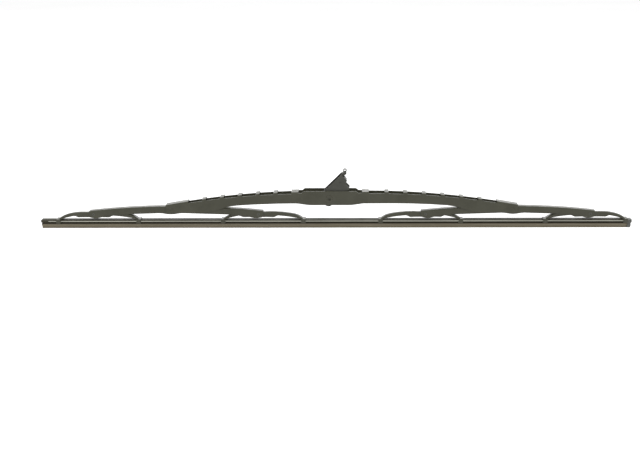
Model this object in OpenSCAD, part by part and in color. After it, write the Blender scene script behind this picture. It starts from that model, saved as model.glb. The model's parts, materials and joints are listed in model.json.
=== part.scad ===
/* [Linkage] */
// Distance along the blade from the arm pivot to the middle of the bridge
bridge_offset = 13.5; // [8:0.5:18]
// Distance from the middle of the bridge to each yoke pivot
yoke_pivot_reach = 187.9; // [180:0.1:200]
// From a yoke pivot outward to the pivot of the outer claw bridge
yoke_outer_arm = 85.3; // [75:0.1:95]
// From a yoke pivot inward to the pivot of the inner claw bridge
yoke_inner_arm = 96; // [88:0.1:104]
// From a claw bridge pivot to its outward claw
claw_short_arm = 38.8; // [34:0.1:42]
// From a claw bridge pivot to its inward claw
claw_long_arm = 49.4; // [44:0.1:54]
// Depth of the yoke pivots below the arm pivot
yoke_pivot_drop = 13.3; // [12.8:0.1:14]
// Depth of the claw bridge pivots below the yoke pivots
claw_pivot_drop = 5.4; // [5.1:0.1:6]

/* [Bridge] */
// Sheet thickness of the bridge
bridge_sheet = 1; // [0.8:0.1:1.2]
// Outside radius of the folds along the bridge
bridge_fold = 1.2; // [1.1:0.05:1.8]
// Height of the crown above the arm pivot
bridge_crown_height = 7.5; // [7:0.1:8]
// Height of the crown's two ends above the yoke pivots
bridge_end_top = 6.6; // [6.3:0.1:7.2]
// Length of the raised open part that takes the wiper arm
raised_length = 59; // [56:0.5:62]
// How far the middle of the raised part lies past the arm pivot
raised_offset = 0.75; // [0:0.25:2]
// Height of the raised side walls above the arm pivot
raised_height = 8.4; // [7.8:0.1:9]
// Outside width of the raised open part
raised_width = 15.4; // [15.2:0.1:17]
// Depth of the raised side walls below the arm pivot
raised_depth = 7.2; // [6.4:0.1:7.8]
// Length of the wide webs beside the raised part
wide_web = 7.5; // [6:0.1:9]
// Clear length of the small window inside each wide web
near_window = 5.3; // [4.5:0.1:6]
// Length of the narrow webs between the windows
narrow_web = 4.3; // [3:0.1:6]
// Length of the first window past the wide web on the left half
left_first_window = 15.3; // [13:0.1:17]
// Length of the first window past the wide web on the right half
right_first_window = 17.2; // [15:0.1:19]
// Pitch of the webs on the left half
left_web_pitch = 19.6; // [18:0.1:21]
// Pitch of the webs on the right half
right_web_pitch = 20.5; // [19:0.1:22]
// Number of windows on the left half
left_windows = 7; // [3:1:7]
// Number of windows on the right half
right_windows = 8; // [3:1:8]
// How far the windows cut down from the crown
window_depth = 1.8; // [1.5:0.1:2.6]
// How far the bridge runs past each yoke pivot
bridge_end_reach = 5.1; // [4.5:0.1:6.5]

/* [Yokes] */
// Sheet thickness of the yokes
yoke_sheet = 0.9; // [0.7:0.1:1.1]
// Outside radius of the folds along the yokes
yoke_fold = 1; // [1:0.05:1.5]
// Height of the yoke's top above its pivot
yoke_top_height = 3.8; // [3.6:0.1:4]
// How far the yoke's top falls from the pivot to each end
yoke_end_fall = 5.3; // [4.9:0.1:5.4]
// How far the yoke runs past its outer pivot
yoke_outer_over = 4.7; // [4.2:0.1:5.5]
// How far the yoke runs past its inner pivot
yoke_inner_over = 5.2; // [4.2:0.1:6]

/* [Claw bridges] */
// Sheet thickness of the claw bridges
claw_sheet = 0.8; // [0.6:0.1:0.9]
// Outside width of a claw bridge at its pivot
claw_bridge_width = 5.2; // [4.8:0.1:5.6]
// Height of the claw bridge's top above its pivot
claw_bridge_top = 2.4; // [2.1:0.1:2.5]
// Depth of a claw bridge's arms
claw_arm_depth = 3.5; // [3.1:0.1:3.9]
// Length of a claw along the strip
claw_length = 4.8; // [4:0.1:6]
// Depth of the claw's top plate below the claw bridge pivot
claw_plate_drop = 5.1; // [5:0.1:5.4]

/* [Rivets and liners] */
// Diameter of the arm pivot rivet
arm_rivet_diameter = 5; // [4:0.1:5.5]
// Diameter of the yoke rivets
yoke_rivet_diameter = 3; // [2.5:0.1:3.2]
// Diameter of the claw bridge rivets
claw_rivet_diameter = 2; // [1.6:0.1:2.2]
// Thickness of the plastic liners at the pivots
liner_wall = 0.4; // [0.3:0.05:0.5]
// Running clearance on each side of a moving piece
running_fit = 0.05; // [0.03:0.01:0.08]

/* [Arm clip] */
// Angle at which the clip stands up from the bridge
clip_tilt = 44.5; // [0:0.5:80]
// Outside width of the clip
clip_width = 12.4; // [11.5:0.1:12.8]
// Width of the hook arm that the clip takes
clip_pocket_width = 9.4; // [9:0.1:9.6]
// Distance from the pivot to the back of the clip
clip_back = 9.9; // [9.6:0.1:10.2]
// Radius of the clip's heel round the pivot
clip_heel = 9; // [8.6:0.1:9.2]
// Length of the clip from the pivot to its end wall
clip_length = 27.9; // [26.5:0.1:28.4]
// Length of the finger tab past the end wall
clip_tab = 4.4; // [4:0.1:4.8]

/* [Wiping element] */
// Width of the rubber head
head_width = 8; // [7.6:0.1:8.4]
// Height of each flange of the rubber head
head_flange = 0.8; // [0.7:0.05:0.9]
// Height of the side slots that hold the rails
slot_height = 1.1; // [1:0.05:1.2]
// Width of the rubber between the two slots
slot_web = 2.2; // [1.8:0.1:2.6]
// Height of the neck under the head
neck_height = 1.7; // [1.5:0.1:2]
// Width of the neck
neck_width = 1.8; // [1.4:0.1:2]
// Width across the shoulders that limit the lip's tilt
shoulder_width = 5.6; // [5:0.1:6]
// Height of the shoulders
shoulder_height = 3.2; // [2.8:0.1:3.6]
// Height of the wiping lip
lip_height = 2.5; // [2:0.1:2.8]
// Thickness of the wiping lip
lip_width = 0.9; // [0.7:0.1:1.1]
// Length of the strip past the left outermost claw
strip_left_over = 19.2; // [12:0.1:24]
// Length of the closed rubber at the strip's left end
strip_closed_end = 8; // [5:0.1:10]
// Length of the cap on the strip's right end
end_cap_length = 4.3; // [3.5:0.1:6]
// Thickness of each steel rail
rail_thickness = 0.9; // [0.8:0.05:0.95]
// How far each rail stands out of its slot
rail_proud = 0.3; // [0.2:0.05:0.35]

/* [Hidden] */

paint = [0.31, 0.31, 0.27];
bright_steel = [0.66, 0.66, 0.63];
black_plastic = [0.20, 0.20, 0.18];
rubber = [0.40, 0.36, 0.32];

// Past both faces of what a cut goes through
through = 1;
// Round pins and bores
$fn = 48;
// Flat steps in each fold of the sheet
fold_steps = 3;
// Length along which each end of the raised walls slants down to the window beside it
raised_slant = 2.8;
// From the middle of the bridge to where its crown starts to fall, and its lower edge
crown_level = 30;
low_level = 50;
// Height of the lower edge beside the raised part, and how far it would fall to the pivots
bridge_low_z = -5.4;
bridge_low_fall = 11.6;
// The lugs of the bridge: how far inward they start, how soon they are full, how deep they go
bridge_lug_start = 70;
bridge_lug_blend = 40;
bridge_lug_depth = 3.4;
// From the end of the taper in the bridge's width to the yoke pivot
straight_end = 13.6;
// How much narrower the bridge is beside its raised part
raised_bulge = 0.3;
// The yoke's lower edge: its depth, its slope outward and the swell round its pivot
yoke_wall_depth = 3.4;
yoke_wall_slope = 0.032;
yoke_swell = 1.7;
yoke_swell_half = 13;
// The lugs round the claw bridge pivots: their depth below the pivot and half length
claw_lug_depth = 4;
claw_lug_half = 9;
// The claw bridge's arms: level next to the pivot, then falling to the claws
outer_arm_level = 13;
inner_arm_level = 7;
arm_fold = 1.2;
// How far the inward arm rises past its yoke before it falls
inner_arm_rise = 0.5;
// How much deeper the arms are beside the pivot, how far out, and how soon that ends
pivot_lug_depth = 2.2;
pivot_lug_half = 21.5;
pivot_lug_blend = 5;
// Added to half the width of the arms where they run into the claws
arm_spread = 1.1;

// Widths, from the narrowest channel outward
liner_stack = liner_wall + 2 * running_fit;
yoke_inner_half = claw_bridge_width / 2 + liner_stack;
yoke_half = yoke_inner_half + yoke_sheet;
bridge_end_half = yoke_half + liner_stack + bridge_sheet;
raised_half = raised_width / 2;

// Heights of the pivots, the claws and the rubber
yoke_pivot_z = -yoke_pivot_drop;
claw_pivot_z = yoke_pivot_z - claw_pivot_drop;
claw_plate_top = claw_pivot_z - claw_plate_drop;
claw_gap = 0.2;
strip_top_z = claw_plate_top - claw_sheet - claw_gap;
head_height = 2 * head_flange + slot_height;
neck_top_z = strip_top_z - head_height;
shoulder_top_z = neck_top_z - neck_height;
lip_top_z = shoulder_top_z - shoulder_height;
lip_z = lip_top_z - lip_height;

// The side of a claw clears the rails by half the gap over the head
claw_inner_half = head_width / 2 + rail_proud + claw_gap / 2;
claw_half = claw_inner_half + claw_sheet;
claw_lip_half = 1.6;
claw_bottom_z = neck_top_z - claw_gap - claw_sheet;

// Pivots and ends along the blade
yoke_left_x = bridge_offset - yoke_pivot_reach;
yoke_right_x = bridge_offset + yoke_pivot_reach;
claw_left_outer_x = yoke_left_x - yoke_outer_arm;
claw_left_inner_x = yoke_left_x + yoke_inner_arm;
claw_right_inner_x = yoke_right_x - yoke_inner_arm;
claw_right_outer_x = yoke_right_x + yoke_outer_arm;
bridge_half_length = yoke_pivot_reach + bridge_end_reach;
strip_left_x = claw_left_outer_x - claw_short_arm - strip_left_over;
strip_right_x = claw_right_outer_x + claw_short_arm + claw_length / 2 + claw_gap;

// Rivet heads
arm_head_radius = arm_rivet_diameter / 2 + 1.2;
yoke_head_radius = yoke_rivet_diameter / 2 + 0.9;
claw_head_radius = claw_rivet_diameter / 2 + 0.7;
// Fit of a rivet in the sheet that it is closed on
rivet_fit = 0.02;

// Eases from 0 to 1 as t goes from 0 to 1
function ease(t) = let (u = min(1, max(0, t))) u * u * (3 - 2 * u);
// A rounded lobe of the given half length, 1 at its centre and 0 outside
function lobe(t) = abs(t) >= 1 ? 0 : sqrt(1 - t * t);
// A soft swell of the given half length, 1 at its centre and 0 outside
function swell(t) = abs(t) >= 1 ? 0 : 0.5 + 0.5 * cos(180 * t);
function arc(cx, cy, r, from, to, n) =
    [for (i = [0 : n]) let (a = from + (to - from) * i / n) [cx + r * cos(a), cy + r * sin(a)]];
function spread(from, to, n) = [for (i = [0 : n]) from + (to - from) * i / n];
function mirrored(points) =
    [for (i = [len(points) - 1 : -1 : 0]) [-points[i][0], points[i][1]]];

// One side of a folded sheet's outline, from its lower edge to the top fold
function folded_side(half, top, low, fold) =
    concat([[half, low]], arc(half - fold, top - fold, fold, 0, 90, fold_steps));
// The whole outline, from the lower edge on +Y over the top to the one on -Y
function folded_line(half, top, low, fold) =
    let (side = folded_side(half, top, low, fold)) concat(side, mirrored(side));

// A sheet folded into an upside-down channel along X.
// top, low and half are functions of x: the height of the top, of the lower edge,
// and half the outside width.
module channel(stations, top, low, half, sheet, fold) {
    inner_fold = max(fold - sheet, 0.2);
    rings = [for (x = stations)
        let (edge = min(low(x), top(x) - fold - 0.3))
        concat(
            [for (p = folded_line(half(x), top(x), edge, fold)) [x, p[0], p[1]]],
            [for (p = folded_line(half(x) - sheet, top(x) - sheet, edge, inner_fold))
                [x, p[0], p[1]]])];
    n = len(rings[0]) / 2;
    last = len(rings) - 1;
    function at(i, k) = i * 2 * n + k;
    sides = [for (i = [0 : last - 1]) for (k = [0 : n - 2]) each [
        [at(i, k), at(i + 1, k), at(i + 1, k + 1)],
        [at(i, k), at(i + 1, k + 1), at(i, k + 1)],
        [at(i, n + k), at(i + 1, n + k + 1), at(i + 1, n + k)],
        [at(i, n + k), at(i, n + k + 1), at(i + 1, n + k + 1)]]];
    rims = [for (i = [0 : last - 1]) each [
        [at(i + 1, 0), at(i, 0), at(i, n)],
        [at(i + 1, 0), at(i, n), at(i + 1, n)],
        [at(i, n - 1), at(i + 1, n - 1), at(i + 1, 2 * n - 1)],
        [at(i, n - 1), at(i + 1, 2 * n - 1), at(i, 2 * n - 1)]]];
    ends = [for (k = [0 : n - 2]) each [
        [at(0, k), at(0, k + 1), at(0, n + k + 1)],
        [at(0, k), at(0, n + k + 1), at(0, n + k)],
        [at(last, k), at(last, n + k + 1), at(last, k + 1)],
        [at(last, k), at(last, n + k), at(last, n + k + 1)]]];
    polyhedron(points = [for (r = rings) each r], faces = concat(sides, rims, ends));
}

// A round bar or bore across the blade
module across(radius, width) {
    rotate([90, 0, 0]) cylinder(r = radius, h = width, center = true);
}

// A section of the blade, drawn across and up, drawn out along X
module along(from, to) {
    translate([from, 0, 0]) rotate([90, 0, 90]) linear_extrude(height = to - from) children();
}

// A side view, drawn along and up, drawn out across the blade
module sideways(width) {
    rotate([90, 0, 0]) linear_extrude(height = width, center = true) children();
}

// A rivet across the blade with a low round head on each side
module rivet(diameter, grip, head_radius) {
    head_height = 0.22 * head_radius;
    dome_radius = (head_radius * head_radius + head_height * head_height) / (2 * head_height);
    union() {
        across(diameter / 2, grip);
        for (side = [-1, 1])
            rotate([side * 90, 0, 0]) translate([0, 0, grip / 2])
                rotate_extrude() intersection() {
                    translate([0, head_height - dome_radius]) circle(r = dome_radius);
                    square([head_radius, head_height]);
                }
    }
}

// Distance of a point from the nearer end of the raised part, less than 0 inside it
function past_raised(x) = abs(x - raised_offset) - raised_length / 2;
// How far out a point of the bridge lies, from 0 where a curve starts to 1 at the yoke pivot
function way_out(x, from) =
    max(0, abs(x - bridge_offset) - from) / (yoke_pivot_reach - from);
// Height of the bridge's top edge, with its raised part round the arm pivot
function bridge_top(x) =
    let (end_z = yoke_pivot_z + bridge_end_top,
        crown = bridge_crown_height
            - (bridge_crown_height - end_z) * pow(way_out(x, crown_level), 2),
        raised = ease(1 - past_raised(x) / near_window))
    crown + raised * (raised_height + bridge_fold - bridge_crown_height);
// Lower edge of the bridge: level at the raised part, then falling to a lug at each end
function bridge_low(x) =
    let (level = bridge_low_z - bridge_low_fall * pow(way_out(x, low_level), 2),
        raised = ease(0.5 - past_raised(x) / (2 * wide_web + 3)),
        before_pivot = yoke_pivot_reach - abs(x - bridge_offset),
        lug = ease((bridge_lug_start - before_pivot) / bridge_lug_blend),
        lug_low = yoke_pivot_z - bridge_lug_depth)
    (level * (1 - raised) - raised_depth * raised) * (1 - lug) + lug_low * lug;
// Half of the bridge's outside width, widest round the arm
function bridge_half(x) =
    let (raised = ease(1 - past_raised(x) / near_window),
        taper = ease(past_raised(x) / (past_raised(yoke_left_x) - straight_end)),
        plain_half = raised_half - raised_bulge)
    plain_half + raised_bulge * raised - (plain_half - bridge_end_half) * taper;

// What is cut from the top between two places, down to a depth below the crown
module bridge_window(from, to) {
    sideways(2 * raised_width) polygon(concat(
        [for (x = [from, (from + to) / 2, to]) [x, bridge_top(x) - window_depth]],
        [[to, 2 * raised_width], [from, 2 * raised_width]]));
}

// The windows on one side, past the wide web
module bridge_windows(side, first_window, pitch, count) {
    wide_to = raised_length / 2 + near_window + wide_web;
    for (i = [1 : count - 1]) {
        to = wide_to + first_window + (i - 1) * pitch;
        from = i == 1 ? wide_to : to - pitch + narrow_web;
        bridge_window(raised_offset + side * from, raised_offset + side * to);
    }
}

// The open middle: the walls of the raised part slant down to a small window at each end
module open_middle() {
    half = raised_length / 2;
    floor_z = bridge_top(raised_offset + half + near_window) - bridge_sheet - 0.2;
    side_line = [
        [half + near_window, 2 * raised_width], [half + near_window, floor_z],
        [half + raised_slant / 2, floor_z], [half - raised_slant / 2, raised_height]];
    translate([raised_offset, 0, 0]) sideways(2 * raised_width)
        polygon(concat(side_line, mirrored(side_line)));
}

module main_bridge() {
    start = bridge_offset - bridge_half_length;
    stop = bridge_offset + bridge_half_length;
    left_end = raised_offset - raised_length / 2;
    right_end = raised_offset + raised_length / 2;
    stations = concat(
        spread(start, left_end - 2 * near_window, 16),
        spread(left_end - 1.5 * near_window, left_end, 5),
        spread(left_end + raised_length / 20, left_end + 0.15 * raised_length, 2),
        spread(right_end - 0.15 * raised_length, right_end - raised_length / 20, 2),
        spread(right_end, right_end + 1.5 * near_window, 5),
        spread(right_end + 2 * near_window, stop, 17));
    color(paint) difference() {
        channel(stations, function (x) bridge_top(x), function (x) bridge_low(x),
            function (x) bridge_half(x), bridge_sheet, bridge_fold);
        open_middle();
        bridge_windows(-1, left_first_window, left_web_pitch, left_windows);
        bridge_windows(1, right_first_window, right_web_pitch, right_windows);
        across(arm_rivet_diameter / 2 + rivet_fit, 2 * raised_width);
        for (x = [yoke_left_x, yoke_right_x])
            translate([x, 0, yoke_pivot_z])
                across(yoke_rivet_diameter / 2 + rivet_fit, 2 * raised_width);
    }
}

module arm_pivot_rivet() {
    color(bright_steel) rivet(arm_rivet_diameter, raised_width, arm_head_radius);
}

// The clip's cheek in its own frame: along the clip from the pivot, and up to its back
function cheek_outline() = concat(
    [[0, clip_back]],
    arc(0, 0, clip_heel, 110, 225, 26),
    [[-0.32 * clip_heel, -0.83 * clip_heel], [clip_length - 8.4, -8.3],
     [clip_length - 7.3, -7.5], [clip_length - 6.2, -8.1], [clip_length - 5, -8],
     [clip_length - 4.1, -7.3], [clip_length - 4, -1.6], [clip_length - 2.5, -1.4],
     [clip_length - 1.9, -0.6], [clip_length - 1.6, 1.4], [clip_length - 0.4, 1.1],
     [clip_length, 6], [clip_length, clip_back]]);

module arm_clip() {
    back_plate = 1.8;
    barrel_radius = arm_rivet_diameter / 2 + 1.7;
    tab_width = 8;
    tab_depth = 3.4;
    ring_radius = 2;
    ring_x = clip_length + clip_tab + 1;
    ring_z = clip_back - 0.3;
    eye_x = clip_length - 7.2;
    eye_z = clip_back - 4.9;
    color(black_plastic) rotate([0, -clip_tilt, 0]) difference() {
        union() {
            difference() {
                sideways(clip_width) polygon(cheek_outline());
                sideways(clip_pocket_width) translate([-2 * clip_back, -2 * clip_back])
                    square([4 * clip_back + clip_length, 3 * clip_back - back_plate]);
                translate([-2 * clip_back, -clip_pocket_width / 2, 0])
                    cube([2 * clip_back + 2, clip_pocket_width, 2 * clip_back]);
                translate([eye_x, 0, eye_z]) across(1, 2 * clip_width);
            }
            sideways(clip_width) circle(r = barrel_radius);
            end_wall_and_tongue();
            sideways(tab_width) polygon([
                [clip_length - back_plate, clip_back - tab_depth],
                [clip_length + clip_tab - 1, clip_back - tab_depth],
                [clip_length + clip_tab, clip_back - back_plate - 0.3],
                [clip_length + clip_tab, clip_back - 1],
                [clip_length + 1.4, clip_back],
                [clip_length - back_plate, clip_back]]);
            translate([ring_x, 0, ring_z]) across(ring_radius, 2);
        }
        across(arm_rivet_diameter / 2 + running_fit, 2 * clip_width);
        translate([ring_x, 0, ring_z]) across(ring_radius - 1, 2 * clip_width);
    }
}

// The wall across the clip's end, and the springy tongue that snaps behind the arm's hook
module end_wall_and_tongue() {
    wall_inside = clip_length - 1.8;
    wall_width = clip_width - 1;
    tongue_width = 5;
    sideways(wall_width) polygon([
        [wall_inside, 4.8], [wall_inside, 1], [clip_length - 0.3, 1], [clip_length, 4.8]]);
    sideways(tongue_width) polygon([
        [clip_length - 1, 4.6], [clip_length - 1, 3.4], [clip_length - 11.4, 3.4],
        [clip_length - 12.4, 2.3], [clip_length - 13.8, 3.3], [clip_length - 13.8, 4.4]]);
}

// The yoke in its own frame: x outward from its pivot along the blade
function yoke_outer_end() = yoke_outer_arm + yoke_outer_over;
function yoke_inner_end() = yoke_inner_arm + yoke_inner_over;
function yoke_top(x) =
    let (reach = x > 0 ? yoke_outer_end() : yoke_inner_end())
    yoke_top_height - yoke_end_fall * pow(x / reach, 2);
function yoke_lug(from_pivot) = lobe(from_pivot / claw_lug_half);
function yoke_low(x) =
    let (wall = -yoke_wall_depth - yoke_wall_slope * abs(x),
        lug_low = -claw_pivot_drop - claw_lug_depth,
        lug = max(yoke_lug(x - yoke_outer_arm + 2.5), yoke_lug(x + yoke_inner_arm - 2.5)))
    wall - yoke_swell * swell(x / yoke_swell_half) + (lug_low - wall) * lug;

module yoke() {
    lug_reach = claw_lug_half + 3;
    plain = 0.15 * yoke_outer_arm;
    stations = concat(
        spread(-yoke_inner_end(), -yoke_inner_arm + lug_reach, 9),
        spread(-yoke_inner_arm + 2 * lug_reach, -plain, 5),
        spread(-0.7 * plain, 0.7 * plain, 6),
        spread(plain, yoke_outer_arm - 2 * lug_reach, 5),
        spread(yoke_outer_arm - lug_reach, yoke_outer_end(), 9));
    difference() {
        channel(stations, function (x) yoke_top(x), function (x) yoke_low(x),
            function (x) yoke_half, yoke_sheet, yoke_fold);
        across(yoke_rivet_diameter / 2 + running_fit, 4 * yoke_half);
        for (x = [-yoke_inner_arm, yoke_outer_arm])
            translate([x, 0, -claw_pivot_drop])
                across(claw_rivet_diameter / 2 + rivet_fit, 4 * yoke_half);
    }
}

// A liner saddled over a channel at its pivot, with the pivot at its origin
module liner(inner_width, top, length, height, bore_radius) {
    outer_width = inner_width + 2 * liner_wall;
    difference() {
        translate([-length / 2, -outer_width / 2, top - height])
            cube([length, outer_width, height + liner_wall]);
        translate([-length, -inner_width / 2, top - 2 * height])
            cube([2 * length, inner_width, 2 * height]);
        across(bore_radius, 2 * outer_width);
    }
}

// The claw bridge in its own frame: x outward, pivot at the origin
function claw_outer_end() = claw_short_arm + claw_length / 2;
function claw_inner_end() = claw_long_arm + claw_length / 2;
function claw_arm_reach(x) = x > 0 ? claw_short_arm : claw_long_arm;
function claw_arm_line(x) =
    let (level = x > 0 ? outer_arm_level : inner_arm_level,
        t = max(0, (abs(x) - level) / (claw_arm_reach(x) - level)),
        fall = claw_plate_drop + claw_bridge_top)
    claw_bridge_top
        - fall * (x > 0 ? 0.8 * pow(t, 2) + 0.2 * pow(t, 6) : 0.55 * pow(t, 2) + 0.45 * pow(t, 8));
function claw_arm_top(x) =
    let (past_yoke = -x - inner_arm_level,
        near_claw = ease((-x - claw_long_arm + inner_arm_level) / inner_arm_level))
    claw_arm_line(x) + inner_arm_rise * ease(past_yoke / inner_arm_level) * (1 - near_claw);
function claw_arm_low(x) =
    let (near_claw = ease((abs(x) - claw_arm_reach(x) + 12) / 10),
        lug = pivot_lug_depth * ease((pivot_lug_half - abs(x)) / pivot_lug_blend))
    claw_arm_line(x) - claw_arm_depth * (1 - 0.3 * near_claw) - lug;
// The arms neck in beside the pivot and spread where they run into the claws
function claw_arm_half(x) =
    claw_bridge_width / 2 + arm_spread * ease((abs(x) - claw_arm_reach(x) + 8) / 6);

// A claw's section: a plate over the head, two sides and two turned-in lips
function claw_section() =
    let (r = 0.9,
        outer = concat(
            [[claw_lip_half, claw_bottom_z]],
            arc(claw_half - r, claw_bottom_z + r, r, -90, 0, 3),
            arc(claw_half - r, claw_plate_top - r, r, 0, 90, 3)),
        inner = [
            [claw_inner_half, claw_plate_top - claw_sheet],
            [claw_inner_half, claw_bottom_z + claw_sheet],
            [claw_lip_half, claw_bottom_z + claw_sheet]])
    concat(outer, mirrored(outer), [for (i = [2 : -1 : 0]) [-inner[i][0], inner[i][1]]], inner);

module claw_bridge() {
    stations = concat(
        spread(-claw_long_arm - 1, -claw_long_arm + 14, 9),
        spread(-claw_long_arm + 20, -pivot_lug_half - 2, 3),
        spread(-pivot_lug_half, -pivot_lug_half + pivot_lug_blend, 3),
        spread(-2 * inner_arm_level, -inner_arm_level, 3),
        [0, outer_arm_level],
        spread(pivot_lug_half - pivot_lug_blend, pivot_lug_half, 3),
        spread(claw_short_arm - 12, claw_short_arm + 1, 9));
    difference() {
        union() {
            channel(stations, function (x) claw_arm_top(x), function (x) claw_arm_low(x),
                function (x) claw_arm_half(x), claw_sheet, arm_fold);
            for (x = [-claw_long_arm, claw_short_arm])
                translate([x, 0, -claw_pivot_z])
                    along(-claw_length / 2, claw_length / 2) polygon(claw_section());
        }
        across(claw_rivet_diameter / 2 + running_fit, 4 * claw_bridge_width);
        // Room for the rubber head and its rails
        translate([-claw_inner_end() - through, -claw_inner_half, claw_bottom_z + claw_sheet
            - claw_pivot_z])
            cube([claw_outer_end() + claw_inner_end() + 2 * through, 2 * claw_inner_half,
                claw_plate_top - claw_bottom_z - 2 * claw_sheet]);
    }
}

// Places a piece built outward from its pivot: the left half of the blade is mirrored
module placed(x, z, left) {
    translate([x, 0, z]) mirror([left ? 1 : 0, 0, 0]) children();
}

module yoke_pair_piece(left) {
    placed(left ? yoke_left_x : yoke_right_x, yoke_pivot_z, left) children();
}

module painted_yoke() { color(paint) yoke(); }
module painted_claw_bridge() { color(paint) claw_bridge(); }
module yoke_rivet() {
    color(bright_steel) rivet(yoke_rivet_diameter, 2 * bridge_end_half, yoke_head_radius);
}
module claw_rivet() {
    color(bright_steel) rivet(claw_rivet_diameter, 2 * yoke_half, claw_head_radius);
}
module yoke_liner() {
    color(black_plastic) liner(2 * (yoke_half + running_fit), yoke_top_height + running_fit,
        7, 6, yoke_rivet_diameter / 2 + running_fit);
}
module claw_liner() {
    color(black_plastic) liner(claw_bridge_width + 2 * running_fit,
        claw_bridge_top + running_fit, 6, 4.4, claw_rivet_diameter / 2 + running_fit);
}

// One half of the rubber's section, from the middle of its top down to the lip
function rubber_side() = [
    [head_width / 2, strip_top_z],
    [head_width / 2, strip_top_z - head_flange],
    [slot_web / 2, strip_top_z - head_flange],
    [slot_web / 2, strip_top_z - head_flange - slot_height],
    [head_width / 2, strip_top_z - head_flange - slot_height],
    [head_width / 2, neck_top_z + 0.2],
    [head_width / 2 - 0.3, neck_top_z],
    [neck_width / 2, neck_top_z],
    [neck_width / 2, shoulder_top_z],
    [shoulder_width / 2, shoulder_top_z],
    [shoulder_width / 2, shoulder_top_z - 0.6],
    [lip_width / 2 + 0.3, lip_top_z],
    [lip_width / 2, lip_top_z - 0.3],
    [lip_width / 2, lip_z]];

module wiper_strip() {
    end_slant = 1.5;
    color(rubber) difference() {
        union() {
            along(strip_left_x, strip_right_x)
                polygon(concat(rubber_side(), mirrored(rubber_side())));
            translate([strip_left_x, -head_width / 2, neck_top_z])
                cube([strip_closed_end - claw_gap, head_width, head_height]);
        }
        translate([strip_left_x, 0, 0]) sideways(2 * head_width) polygon([
            [-through, neck_top_z], [0, neck_top_z], [end_slant, lip_z],
            [end_slant, lip_z - through], [-through, lip_z - through]]);
    }
}

// One steel rail, side = -1 for the one towards the camera side of the blade
module rail(side) {
    inner = slot_web / 2 + running_fit;
    outer = head_width / 2 + rail_proud;
    color(bright_steel)
        translate([strip_left_x + strip_closed_end, side > 0 ? inner : -outer,
            strip_top_z - head_flange - (slot_height + rail_thickness) / 2])
            cube([strip_right_x - strip_left_x - strip_closed_end - 1.7, outer - inner,
                rail_thickness]);
}

// The cap that closes the strip's right end and keeps the rails in
module end_cap() {
    lip_setback = 2;
    from = strip_right_x + running_fit;
    color(black_plastic) union() {
        intersection() {
            along(from, from + end_cap_length) polygon(concat(
                cap_side(), mirrored(cap_side())));
            sideways(2 * head_width) polygon([
                [from, strip_top_z + through], [from + end_cap_length - 0.6, strip_top_z + through],
                [from + end_cap_length, strip_top_z - 0.6],
                [from + end_cap_length, shoulder_top_z + 0.8],
                [from + end_cap_length - lip_setback, shoulder_top_z - 1.2],
                [from + end_cap_length - lip_setback, lip_z - through],
                [from, lip_z - through]]);
        }
        for (side = [-1, 1])
            translate([from - 1.4, side > 0 ? slot_web / 2 + 0.2 : -head_width / 2,
                strip_top_z - head_flange - slot_height + 0.15])
                cube([1.4 + through, head_width / 2 - slot_web / 2 - 0.2, slot_height - 0.3]);
    }
}

function cap_side() = [
    [head_width / 2 - 0.4, strip_top_z], [head_width / 2 + rail_proud, strip_top_z - 0.5],
    [head_width / 2 + rail_proud, neck_top_z - 0.4], [shoulder_width / 2 + 0.2, shoulder_top_z],
    [shoulder_width / 2 + 0.2, lip_top_z], [lip_width, lip_z]];

main_bridge();
arm_pivot_rivet();
arm_clip();
yoke_pair_piece(true) painted_yoke();  // yoke_left
yoke_pair_piece(false) painted_yoke();  // yoke_right
yoke_pair_piece(true) yoke_rivet();  // yoke_rivet_left
yoke_pair_piece(false) yoke_rivet();  // yoke_rivet_right
yoke_pair_piece(true) yoke_liner();  // yoke_liner_left
yoke_pair_piece(false) yoke_liner();  // yoke_liner_right
placed(claw_left_outer_x, claw_pivot_z, true) painted_claw_bridge();  // claw_bridge_left_outer
placed(claw_left_inner_x, claw_pivot_z, true) painted_claw_bridge();  // claw_bridge_left_inner
placed(claw_right_inner_x, claw_pivot_z, false) painted_claw_bridge();  // claw_bridge_right_inner
placed(claw_right_outer_x, claw_pivot_z, false) painted_claw_bridge();  // claw_bridge_right_outer
placed(claw_left_outer_x, claw_pivot_z, true) claw_rivet();  // claw_rivet_left_outer
placed(claw_left_inner_x, claw_pivot_z, true) claw_rivet();  // claw_rivet_left_inner
placed(claw_right_inner_x, claw_pivot_z, false) claw_rivet();  // claw_rivet_right_inner
placed(claw_right_outer_x, claw_pivot_z, false) claw_rivet();  // claw_rivet_right_outer
placed(claw_left_outer_x, claw_pivot_z, true) claw_liner();  // claw_liner_left_outer
placed(claw_left_inner_x, claw_pivot_z, true) claw_liner();  // claw_liner_left_inner
placed(claw_right_inner_x, claw_pivot_z, false) claw_liner();  // claw_liner_right_inner
placed(claw_right_outer_x, claw_pivot_z, false) claw_liner();  // claw_liner_right_outer
wiper_strip();
rail(-1);  // rail_front
rail(1);  // rail_back
end_cap();
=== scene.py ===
import json
import math

import bmesh
import bpy
from mathutils import Matrix, Vector


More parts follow.
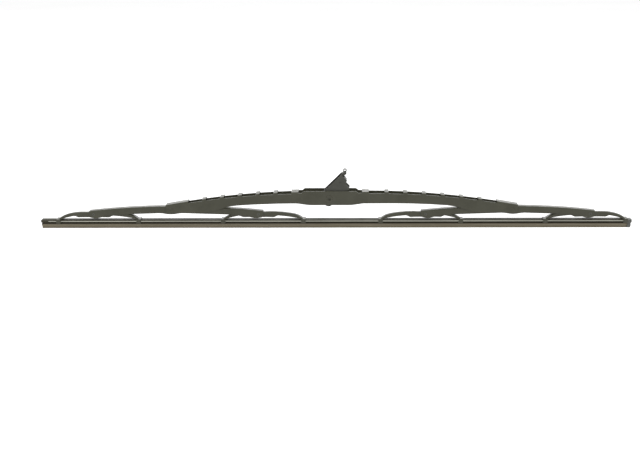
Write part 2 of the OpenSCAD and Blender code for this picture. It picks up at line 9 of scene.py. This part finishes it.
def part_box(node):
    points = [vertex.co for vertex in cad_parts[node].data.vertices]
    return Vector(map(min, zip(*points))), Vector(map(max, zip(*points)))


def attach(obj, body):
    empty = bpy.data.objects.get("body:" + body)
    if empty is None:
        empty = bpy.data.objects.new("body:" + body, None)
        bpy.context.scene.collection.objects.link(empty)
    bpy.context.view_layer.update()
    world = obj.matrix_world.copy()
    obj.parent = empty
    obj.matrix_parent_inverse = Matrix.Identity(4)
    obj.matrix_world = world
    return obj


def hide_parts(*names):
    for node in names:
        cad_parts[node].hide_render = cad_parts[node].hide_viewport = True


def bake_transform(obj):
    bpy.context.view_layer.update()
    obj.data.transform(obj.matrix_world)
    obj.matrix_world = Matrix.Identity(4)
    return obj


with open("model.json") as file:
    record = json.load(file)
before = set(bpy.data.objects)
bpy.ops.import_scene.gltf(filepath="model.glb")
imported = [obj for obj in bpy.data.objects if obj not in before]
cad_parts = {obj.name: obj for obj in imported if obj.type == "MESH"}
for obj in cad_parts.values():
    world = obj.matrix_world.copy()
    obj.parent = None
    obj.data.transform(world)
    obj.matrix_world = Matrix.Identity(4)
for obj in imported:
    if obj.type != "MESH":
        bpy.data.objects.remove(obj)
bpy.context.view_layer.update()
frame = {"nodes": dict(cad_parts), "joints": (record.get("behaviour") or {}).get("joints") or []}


# The camera. It stands a little right of the blade's middle, 15 degrees up and about
# 1.2 m away, so the far sides of the windows lean in; its frame is shifted to the left.
view_tilt = math.radians(15)
view_turn = math.radians(-0.08)
view_distance = 1.24
frame_width = 0.7018
aim = Vector((0.039, -0.005, -0.012))
lens = bpy.data.cameras.new("camera")
lens.sensor_width = 36
lens.lens = lens.sensor_width * view_distance / frame_width
lens.shift_x = -0.07054
lens.shift_y = -0.0309
lens.clip_start = 0.1
lens.clip_end = 50
camera = bpy.data.objects.new("camera", lens)
bpy.context.scene.collection.objects.link(camera)
stand = aim + view_distance * Vector((0, -math.cos(view_tilt), math.sin(view_tilt)))
camera.matrix_world = (Matrix.Translation(stand) @ Matrix.Rotation(math.pi / 2 - view_tilt, 4, "X")
                       @ Matrix.Rotation(view_turn, 4, "Z"))
bpy.context.scene.camera = camera
bpy.context.scene.view_settings.view_transform = "Standard"


# The main bridge: pressed from one millimetre steel sheet, folded into a channel, its
# windows pierced before folding, then stove enamelled in satin black.
noise_low, noise_high = 0.3, 0.7  # most of the noise lies between these
crease = math.radians(35)         # sharper edges than this are shaded sharp


def new_material(name):
    """A material with its Principled shader and the piece's own coordinates."""
    material = bpy.data.materials.new(name)
    material.use_nodes = True
    tree = material.node_tree
    shader = tree.nodes["Principled BSDF"]
    place = tree.nodes.new("ShaderNodeTexCoord").outputs["Object"]
    return material, tree, shader, place


def speckle(tree, place, scale, detail=3.0, stretch=None):
    """Noise in the piece's own space, drawn out along it where stretch is given."""
    if stretch:
        mapping = tree.nodes.new("ShaderNodeMapping")
        mapping.inputs["Scale"].default_value = stretch
        tree.links.new(place, mapping.inputs["Vector"])
        place = mapping.outputs["Vector"]
    noise = tree.nodes.new("ShaderNodeTexNoise")
    noise.inputs["Scale"].default_value = scale
    noise.inputs["Detail"].default_value = detail
    tree.links.new(place, noise.inputs["Vector"])
    return noise.outputs["Fac"]


def vary_colour(tree, shader, factor, dark, light):
    """Two close shades of one finish, laid out by the noise."""
    ramp = tree.nodes.new("ShaderNodeValToRGB")
    ramp.color_ramp.elements[0].position = noise_low
    ramp.color_ramp.elements[0].color = (*dark, 1)
    ramp.color_ramp.elements[1].position = noise_high
    ramp.color_ramp.elements[1].color = (*light, 1)
    tree.links.new(factor, ramp.inputs["Fac"])
    tree.links.new(ramp.outputs["Color"], shader.inputs["Base Color"])


def vary_roughness(tree, shader, factor, low, high):
    """Patches that are a little glossier or duller."""
    spread = tree.nodes.new("ShaderNodeMapRange")
    spread.inputs["From Min"].default_value = noise_low
    spread.inputs["From Max"].default_value = noise_high
    spread.inputs["To Min"].default_value = low
    spread.inputs["To Max"].default_value = high
    tree.links.new(factor, spread.inputs["Value"])
    tree.links.new(spread.outputs["Result"], shader.inputs["Roughness"])


def raise_grain(tree, shader, factor, depth, strength):
    """The fine grain of the surface, depth in metres."""
    bump = tree.nodes.new("ShaderNodeBump")
    bump.inputs["Distance"].default_value = depth
    bump.inputs["Strength"].default_value = strength
    tree.links.new(factor, bump.inputs["Height"])
    tree.links.new(bump.outputs["Normal"], shader.inputs["Normal"])


def enamelled_steel(name, dark, light):
    """Steel under a satin coat of stove enamel."""
    material, tree, shader, place = new_material(name)
    vary_colour(tree, shader, speckle(tree, place, scale=60), dark, light)
    vary_roughness(tree, shader, speckle(tree, place, scale=140), low=0.34, high=0.46)
    raise_grain(tree, shader, speckle(tree, place, scale=1500, detail=2.0), depth=0.00004, strength=0.25)
    shader.inputs["Specular IOR Level"].default_value = 0.34
    shader.inputs["Coat Weight"].default_value = 0.08
    shader.inputs["Coat Roughness"].default_value = 0.25
    return material


def finish_node(node, material):
    """A CAD node keeps its shape and takes this material."""
    part = frame["nodes"][node]
    part.data.materials.clear()
    part.data.materials.append(material)


def merged_copy(node, name):
    """A copy of a CAD node's mesh with its doubles merged and its flat faces joined up."""
    bpy.ops.object.select_all(action="DESELECT")
    piece = bpy.data.objects.new(name, frame["nodes"][node].data.copy())
    bpy.context.scene.collection.objects.link(piece)
    bpy.context.view_layer.objects.active = piece
    piece.select_set(True)
    piece.data.materials.clear()
    bpy.ops.object.mode_set(mode="EDIT")
    bpy.ops.mesh.select_all(action="SELECT")
    bpy.ops.mesh.remove_doubles(threshold=0.000002)
    bpy.ops.mesh.dissolve_limited(angle_limit=math.radians(1))
    bpy.ops.object.mode_set(mode="OBJECT")
    return piece


def shade_flat_and_round(piece):
    """Shades rounded edges smooth while the flat faces between them stay flat."""
    bpy.ops.mesh.customdata_custom_splitnormals_clear()
    bpy.ops.object.shade_smooth_by_angle(angle=crease)
    shading = piece.modifiers.new("flat faces", "WEIGHTED_NORMAL")
    shading.keep_sharp = True
    bpy.ops.object.modifier_apply(modifier=shading.name)


def soften_edges(piece, width, steps=2):
    """Rounds the piece's edges over the given width."""
    bpy.ops.object.select_all(action="DESELECT")
    bpy.context.view_layer.objects.active = piece
    piece.select_set(True)
    bevel = piece.modifiers.new("rounded edges", "BEVEL")
    bevel.width = width
    bevel.segments = steps
    bevel.limit_method = "ANGLE"
    bevel.angle_limit = math.radians(30)
    bpy.ops.object.modifier_apply(modifier=bevel.name)
    shade_flat_and_round(piece)


def softened_node(node, name, material, width, body):
    """A CAD node with rounded edges in place of its crisp ones."""
    piece = merged_copy(node, name)
    soften_edges(piece, width)
    piece.data.materials.append(material)
    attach(piece, body)
    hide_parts(node)


black_enamel = enamelled_steel("black_enamel", (0.031, 0.0306, 0.0168), (0.041, 0.0406, 0.0248))
bridge_edge = 0.00015
softened_node("main_bridge", "pressed_bridge", black_enamel, bridge_edge, "bridge")


# The arm pivot rivet: a tubular steel rivet with its ends rolled over the bridge's walls.
# It is enamelled together with the bridge, so its heads only show by their round edges.
def shape_in_edit_mode(piece):
    """Makes the piece the only one at work and opens it in edit mode."""
    bpy.ops.object.select_all(action="DESELECT")
    bpy.context.view_layer.objects.active = piece
    piece.select_set(True)
    bpy.ops.object.mode_set(mode="EDIT")
    bpy.ops.mesh.select_mode(type="FACE")
    bpy.ops.mesh.select_all(action="DESELECT")
    return bmesh.from_edit_mesh(piece.data)


def pick_faces(mesh, wanted):
    """Selects the faces that the test wants, and only those."""
    for face in mesh.faces:
        face.select_set(wanted(face))
    mesh.select_flush(True)


def tubular_rivet(name, half_grip, half_length, shank, head, bore):
    """A rivet along Y with both ends hollow and rolled over to low round heads. It holds
    sheets from -half_grip to half_grip, and the shank, head and bore are radii."""
    bpy.ops.object.select_all(action="DESELECT")
    bpy.ops.mesh.primitive_cylinder_add(vertices=40, radius=shank, depth=2 * half_grip)
    rivet = bpy.context.active_object
    rivet.name = name
    shape_in_edit_mode(rivet)
    bpy.ops.mesh.select_all(action="SELECT")
    bpy.ops.transform.rotate(value=math.pi / 2, orient_axis="X", center_override=(0, 0, 0))
    mesh = bmesh.from_edit_mesh(rivet.data)
    rise = half_length - half_grip
    for side in (-1, 1):
        pick_faces(mesh, lambda face: side * face.normal.y > 0.9
                   and side * face.calc_center_median().y > 0.9 * half_grip)
        under_head, rim, round_top = (0, head), (0.45 * rise, head), (0.4 * rise, 0.84 * head)
        crest, mouth, bottom = (0.15 * rise, 0.66 * head), (0, bore), (-1.6 * rise, 0.92 * bore)
        for out, radius in (under_head, rim, round_top, crest, mouth, bottom):
            edge = max(math.hypot(v.co.x, v.co.z) for v in mesh.verts if v.select)
            bpy.ops.mesh.extrude_region_move(TRANSFORM_OT_translate={"value": (0, side * out, 0)})
            bpy.ops.transform.resize(value=(radius / edge, 1, radius / edge),
                                     center_override=(0, 0, 0))
            mesh = bmesh.from_edit_mesh(rivet.data)
    bpy.ops.object.mode_set(mode="OBJECT")
    bpy.ops.object.shade_smooth_by_angle(angle=crease)
    return rivet


arm_rivet = tubular_rivet("arm_rivet", half_grip=0.00762, half_length=0.0085, shank=0.0025,
                          head=0.0037, bore=0.0017)
arm_rivet.data.materials.append(black_enamel)
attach(arm_rivet, "bridge")
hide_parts("arm_pivot_rivet")


# The arm clip: moulded in black nylon with a fine spark-eroded grain. It snaps on the
# pivot rivet and takes the hook of the wiper arm.
def moulded_plastic(name, dark, light, rough):
    """Nylon with the fine grain of its mould."""
    material, tree, shader, place = new_material(name)
    vary_colour(tree, shader, speckle(tree, place, scale=90), dark, light)
    vary_roughness(tree, shader, speckle(tree, place, scale=200), rough - 0.06, rough + 0.06)
    raise_grain(tree, shader, speckle(tree, place, scale=2600, detail=2.0), depth=0.00005, strength=0.35)
    return material


black_nylon = moulded_plastic("black_nylon", (0.026, 0.026, 0.0185), (0.036, 0.036, 0.0265), 0.55)
# Painted shade: a darker, duller copy of the black nylon for the inside of the clip's tray, where shade
# falls.
shaded_tray_nylon = moulded_plastic("shaded_tray_nylon", (0.006, 0.006, 0.004), (0.010, 0.010, 0.007), 0.8)
shaded_tray_nylon.node_tree.nodes["Principled BSDF"].inputs["Specular IOR Level"].default_value = 0.15
clip_hinge = next(joint for joint in frame["joints"] if joint["child"] == "clip")
clip_turn = math.radians(-clip_hinge["range_deg"][0])  # it stands up from where it folds flat
clip_along = Vector((math.cos(clip_turn), 0, math.sin(clip_turn)))
clip_up = Vector((-math.sin(clip_turn), 0, math.cos(clip_turn)))
clip_back = 0.0099  # height of the back's outer face above the pivot, across the clip
clip_edge = 0.0002
tray_rim = 0.0007
tray_depth = 0.0013
tray_floor = clip_back - tray_depth
tray_start, tray_end, tray_half_width = 0.0004, 0.0285, 0.0056
clip = merged_copy("arm_clip", "moulded_clip")
clip.data.materials.append(black_nylon)
clip.data.materials.append(shaded_tray_nylon)
mesh = shape_in_edit_mode(clip)
pick_faces(mesh, lambda face: face.normal.dot(clip_up) > 0.999
           and abs(face.calc_center_median().dot(clip_up) - clip_back) < 0.00005)
bpy.ops.mesh.inset(thickness=tray_rim, depth=0)
bpy.ops.mesh.extrude_region_move(TRANSFORM_OT_translate={"value": -tray_depth * clip_up})
bpy.ops.object.mode_set(mode="OBJECT")
# The tray's sunk floor and walls take the darker nylon, as painted shade in the recess.
for face in clip.data.polygons:
    sunk = tray_floor - 0.0001 < face.center.dot(clip_up) < clip_back - 0.0004
    within = (tray_start < face.center.dot(clip_along) < tray_end
              and abs(face.center.y) < tray_half_width)
    facing_up = face.normal.dot(clip_up)
    if sunk and within and (facing_up > 0.9 or abs(facing_up) < 0.1):
        face.material_index = 1
soften_edges(clip, clip_edge)
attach(clip, "clip")
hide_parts("arm_clip")


def bar_across(name, radius, length, sides, along, up, edge, steps):
    """A rounded bar across the clip, so far along it and up from it."""
    bpy.ops.object.select_all(action="DESELECT")
    bpy.ops.mesh.primitive_cylinder_add(vertices=sides, radius=radius, depth=length)
    bar = bpy.context.active_object
    bar.name = name
    shape_in_edit_mode(bar)
    bpy.ops.mesh.select_all(action="SELECT")
    bpy.ops.transform.rotate(value=math.pi / 2, orient_axis="X", center_override=(0, 0, 0))
    bpy.ops.transform.translate(value=along * clip_along + up * clip_up)
    bpy.ops.object.mode_set(mode="OBJECT")
    soften_edges(bar, edge, steps)
    bar.data.materials.append(black_nylon)
    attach(bar, "clip")


# A bar across the clip's tip, for the thumb, under the ring. A core pin closes the small
# hole through the cheeks, a little below their faces.
bar_across("thumb_bar", radius=0.0014, length=0.0076, sides=32, along=0.0315, up=0.0073,
           edge=0.0004, steps=3)
bar_across("core_pin", radius=0.00102, length=0.0118, sides=24, along=0.0207, up=0.0050,
           edge=0.0003, steps=2)


# The two yokes: pressed from thinner sheet than the bridge, enamelled the same way, and
# riveted in the bridge's ends over a plastic liner that keeps them from rattling.
lever_edge = 0.00012
for side in ("left", "right"):
    softened_node(f"yoke_{side}", f"pressed_yoke_{side}", black_enamel, lever_edge,
                  f"{side}_yoke")
    finish_node(f"yoke_rivet_{side}", black_enamel)
    finish_node(f"yoke_liner_{side}", black_nylon)


# The four claw bridges: the last and smallest levers, each with a claw at both ends that
# grips the rubber's head. Their tubular rivets are closed before the enamelling. They are
# given an enamel a shade lighter than the levers', a painted highlight that makes their
# rolled rims show as light rings.
rivet_highlight_enamel = enamelled_steel("rivet_highlight_enamel", (0.048, 0.049, 0.036), (0.064, 0.065, 0.050))
claw_rivet = tubular_rivet("claw_rivet", half_grip=0.0040, half_length=0.00436, shank=0.0010,
                           head=0.0017, bore=0.0009)
for lever in ("left_outer", "left_inner", "right_inner", "right_outer"):
    softened_node(f"claw_bridge_{lever}", f"pressed_claws_{lever}", black_enamel, lever_edge,
                  f"{lever}_claws")
    finish_node(f"claw_liner_{lever}", black_nylon)
    low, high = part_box(f"claw_rivet_{lever}")
    rivet = bpy.data.objects.new(f"tubular_rivet_{lever}", claw_rivet.data.copy())
    bpy.context.scene.collection.objects.link(rivet)
    shape_in_edit_mode(rivet)
    bpy.ops.mesh.select_all(action="SELECT")
    bpy.ops.transform.translate(value=(low + high) / 2)
    bpy.ops.object.mode_set(mode="OBJECT")
    rivet.data.materials.append(rivet_highlight_enamel)
    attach(rivet, "left_yoke" if lever.startswith("left") else "right_yoke")
    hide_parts(f"claw_rivet_{lever}")
bpy.data.objects.remove(claw_rivet)


# The wiper strip: one length of extruded rubber with a flanged head, a neck, shoulders
# and the wiping lip. On the blade it bends with the levers; here it is cut into six lengths
# end to end, which this script doesn't bend.
def rubber_finish(name, dark, light, rough):
    """Extruded rubber, with its streaks and its grain drawn out along the blade."""
    material, tree, shader, place = new_material(name)
    streaks = speckle(tree, place, scale=30, detail=4.0, stretch=(0.6, 12, 12))
    vary_colour(tree, shader, streaks, dark, light)
    vary_roughness(tree, shader, speckle(tree, place, scale=50), rough - 0.07, rough + 0.07)
    grain = speckle(tree, place, scale=60, detail=3.0, stretch=(0.5, 40, 40))
    raise_grain(tree, shader, grain, depth=0.00004, strength=0.3)
    shader.inputs["Specular IOR Level"].default_value = 0.25
    return material


def paint_shade_by_height(material, heights):
    """Multiplies the colour by a painted shade that changes with Z: pairs of height and shade."""
    tree = material.node_tree
    colour = tree.nodes["Principled BSDF"].inputs["Base Color"]
    low, high = heights[0][0], heights[-1][0]
    split = tree.nodes.new("ShaderNodeSeparateXYZ")
    tree.links.new(tree.nodes["Texture Coordinate"].outputs["Object"], split.inputs["Vector"])
    spread = tree.nodes.new("ShaderNodeMapRange")
    spread.inputs["From Min"].default_value = low
    spread.inputs["From Max"].default_value = high
    tree.links.new(split.outputs["Z"], spread.inputs["Value"])
    ramp = tree.nodes.new("ShaderNodeValToRGB")
    stops = ramp.color_ramp.elements
    while len(stops) < len(heights):
        stops.new(0.5)
    for stop, (height, shade) in zip(stops, heights):
        stop.position = (height - low) / (high - low)
        stop.color = (shade, shade, shade, 1)
    tree.links.new(spread.outputs["Result"], ramp.inputs["Fac"])
    mix = tree.nodes.new("ShaderNodeMix")
    mix.data_type = "RGBA"
    mix.blend_type = "MULTIPLY"
    mix.inputs["Factor"].default_value = 1
    tree.links.new(colour.links[0].from_socket, mix.inputs["A"])
    tree.links.new(ramp.outputs["Color"], mix.inputs["B"])
    tree.links.new(mix.outputs["Result"], colour)


ring_pitch = 0.005
tongue_length = 0.003
tongue_inset = 0.00005


def cut_length(whole, name, start_x, end_x):
    """The length of a long piece from start_x to end_x, with a ring of edges every pitch.
    A tongue from its right end lies in the next length, so no gap opens when they bend."""
    bpy.ops.object.select_all(action="DESELECT")
    piece = bpy.data.objects.new(name, whole.data.copy())
    bpy.context.scene.collection.objects.link(piece)
    bpy.context.view_layer.objects.active = piece
    piece.select_set(True)
    bpy.ops.object.mode_set(mode="EDIT")
    for x, keep_right in ((start_x, True), (end_x, False)):
        if x is not None:
            bpy.ops.mesh.select_all(action="SELECT")
            bpy.ops.mesh.bisect(plane_co=(x, 0, 0), plane_no=(1, 0, 0), use_fill=True,
                                clear_inner=keep_right, clear_outer=not keep_right)
    corners = [v.co.x for v in bmesh.from_edit_mesh(piece.data).verts]
    low, high = min(corners), max(corners)
    steps = max(1, round((high - low) / ring_pitch))
    for i in range(1, steps):
        bpy.ops.mesh.select_all(action="SELECT")
        bpy.ops.mesh.bisect(plane_co=(low + (high - low) * i / steps, 0, 0), plane_no=(1, 0, 0))
    if end_x is not None:
        bpy.ops.mesh.select_mode(type="FACE")
        pick_faces(bmesh.from_edit_mesh(piece.data), lambda face: face.normal.x > 0.99
                   and abs(face.calc_center_median().x - end_x) < 0.00001)
        bpy.ops.mesh.inset(thickness=tongue_inset, depth=0)
        bpy.ops.mesh.extrude_region_move(TRANSFORM_OT_translate={"value": (tongue_length, 0, 0)})
    bpy.ops.object.mode_set(mode="OBJECT")
    shade_flat_and_round(piece)
    return piece


# The lengths of one half, as distances from the blade's middle: name, inner end, outer end,
# body at the claws, where the length starts to lean to the yoke and where it is all yoke.
pivots = {joint["child"]: joint["pos_m"][0] for joint in frame["joints"]}
blade_middle = (pivots["left_yoke"] + pivots["right_yoke"]) / 2
yoke_reach = pivots["right_yoke"] - blade_middle
middle_reach = 0.0425
half_lengths = (
    ("middle", 0, middle_reach, "bridge", -0.2265, 0.1435),
    ("span", middle_reach, yoke_reach, "inner_claws", 0.1331, 0.2489),
    ("tip", yoke_reach, None, "outer_claws", 0.2262, 0.1242),
)
# All six lengths, from left to right.
lengths = []
for side, outward, parts in (("left", -1, half_lengths[::-1]), ("right", 1, half_lengths)):
    for name, inner, outer, body, lean_from, lean_to in parts:
        inner_x = blade_middle + outward * inner
        outer_x = None if outer is None else blade_middle + outward * outer
        ends = (outer_x, inner_x) if side == "left" else (inner_x, outer_x)
        near = body if body == "bridge" else f"{side}_{body}"
        lean = (blade_middle + outward * lean_from, blade_middle + outward * lean_to)
        lengths.append((f"{side}_{name}", *ends, near, f"{side}_yoke", *lean))
# The head and neck take the darker rubber; on the neck, in the shade under the head's flanges, that
# darker colour is painted shade.
head_rubber_and_neck_shade = rubber_finish("head_rubber_and_neck_shade", (0.022, 0.020, 0.009), (0.032, 0.029, 0.016), 0.62)
wiping_rubber = rubber_finish("wiping_rubber", (0.115, 0.099, 0.064), (0.155, 0.134, 0.092), 0.65)
lip_edge, shoulder_top = -0.0349, -0.0292
# Painted shade: the top of the shoulders, under the head, is painted darkest and the lip a little
# darker, while the lower shoulders keep the full colour.
paint_shade_by_height(wiping_rubber, ((lip_edge, 0.80), (-0.0327, 0.84), (-0.0323, 1.0), (-0.0312, 0.98),
                                (-0.0302, 0.84), (-0.0297, 0.62), (shoulder_top, 0.40)))
rubber_edge = 0.00015
slant_reach = 0.0022  # the slanted left end lies within this
whole_strip = merged_copy("wiper_strip", "whole_strip")
mesh = shape_in_edit_mode(whole_strip)
bpy.ops.mesh.select_mode(type="VERT")
strip_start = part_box("wiper_strip")[0].x
for vertex in mesh.verts:
    vertex.select_set(vertex.co.x < strip_start + slant_reach)
mesh.select_flush_mode()
# The left end is cut square.
bpy.ops.transform.resize(value=(0, 1, 1), center_override=(strip_start, 0, 0))
bpy.ops.object.mode_set(mode="OBJECT")
soften_edges(whole_strip, rubber_edge)
for name, start_x, end_x, near, lever, lean_from, lean_to in lengths:
    rubber = cut_length(whole_strip, f"rubber_{name}", start_x, end_x)
    rubber.data.materials.append(head_rubber_and_neck_shade)
    rubber.data.materials.append(wiping_rubber)
    # Faces above the shoulders take the darker rubber, which on the neck is painted shade.
    for face in rubber.data.polygons:
        face.material_index = 1 if face.center.z < shoulder_top + 0.00005 else 0
    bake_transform(rubber)
    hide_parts("wiper_strip")
bpy.data.objects.remove(whole_strip)


# The rails: two ribbons of spring steel that lie in the slots of the rubber's head and
# spread the levers' push along it. On the blade they bend with the strip; here they are cut
# in the same lengths.
def bare_steel(name, dark, light, rough, stretch):
    """Unpainted steel, with its marks drawn out along the blade."""
    material, tree, shader, place = new_material(name)
    shader.inputs["Metallic"].default_value = 1.0
    marks = speckle(tree, place, scale=40, detail=4.0, stretch=stretch)
    vary_colour(tree, shader, marks, dark, light)
    vary_roughness(tree, shader, speckle(tree, place, scale=70), rough - 0.06, rough + 0.08)
    grain = speckle(tree, place, scale=40, detail=2.0, stretch=stretch)
    raise_grain(tree, shader, grain, depth=0.00003, strength=0.2)
    return material


drawn_steel = bare_steel("drawn_steel", dark=(0.26, 0.26, 0.225), light=(0.44, 0.44, 0.375),
                         rough=0.42, stretch=(0.4, 30, 30))
rail_edge = 0.00012
for side in ("front", "back"):
    whole_rail = merged_copy(f"rail_{side}", f"whole_rail_{side}")
    soften_edges(whole_rail, rail_edge)
    for name, start_x, end_x, near, lever, lean_from, lean_to in lengths:
        rail = cut_length(whole_rail, f"rail_{side}_{name}", start_x, end_x)
        rail.data.materials.append(drawn_steel)
        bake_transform(rail)
        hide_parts(f"rail_{side}")
    bpy.data.objects.remove(whole_rail)


# The end cap: a small moulded cap pushed on the strip's right end, so that the rails
# can't creep out of their slots.
grey_nylon = moulded_plastic("grey_nylon", (0.044, 0.045, 0.038), (0.060, 0.061, 0.053), 0.48)
cap_edge = 0.0003
foot_reach = 0.0013
cap_low, cap_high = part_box("end_cap")
cap = merged_copy("end_cap", "moulded_cap")
mesh = shape_in_edit_mode(cap)
bpy.ops.mesh.select_mode(type="VERT")
for vertex in mesh.verts:
    vertex.select_set(vertex.co.x > cap_high.x - 0.00245 and vertex.co.z < cap_low.z + 0.0049)
mesh.select_flush_mode()
# The slanted outer end is made steeper: its foot comes out to just inside the top.
bpy.ops.transform.translate(value=(foot_reach, 0, 0))
bpy.ops.object.mode_set(mode="OBJECT")
soften_edges(cap, cap_edge)
cap.data.materials.append(grey_nylon)
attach(cap, "right_outer_claws")
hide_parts("end_cap")


# The studio: a white floor a little below the blade, so that its tips clear it when the
# blade flexes, white surroundings, and soft lights from above, in front and behind.
bpy.ops.object.select_all(action="DESELECT")
bpy.ops.mesh.primitive_plane_add(size=14, location=(0, 0, -0.056))
floor = bpy.context.active_object
floor.name = "floor"
paper, tree, shader, place = new_material("white_paper")
vary_colour(tree, shader, speckle(tree, place, scale=3), (0.93, 0.93, 0.93), (0.95, 0.95, 0.95))
shader.inputs["Roughness"].default_value = 0.9
shader.inputs["Specular IOR Level"].default_value = 0.1
floor.data.materials.append(paper)

surroundings = bpy.data.worlds.new("studio")
surroundings.use_nodes = True
daylight = surroundings.node_tree.nodes["Background"]
daylight.inputs["Color"].default_value = (1, 1, 1, 1)
daylight.inputs["Strength"].default_value = 1.0
bpy.context.scene.world = surroundings


def soft_light(name, place, size, power):
    """A large soft light that faces the blade."""
    light = bpy.data.lights.new(name, "AREA")
    light.shape = "RECTANGLE"
    light.size, light.size_y = size
    light.energy = power
    lamp = bpy.data.objects.new(name, light)
    bpy.context.scene.collection.objects.link(lamp)
    lamp.location = place
    lamp.rotation_euler = (-Vector(place)).to_track_quat("-Z", "Y").to_euler()


soft_light("overhead", place=(0, 0.4, 2.2), size=(2.4, 1.4), power=23)
soft_light("front", place=(-0.8, -2.6, 1.3), size=(1.6, 1.0), power=11)
soft_light("behind", place=(0.3, 2.4, 0.9), size=(3.0, 1.2), power=19)
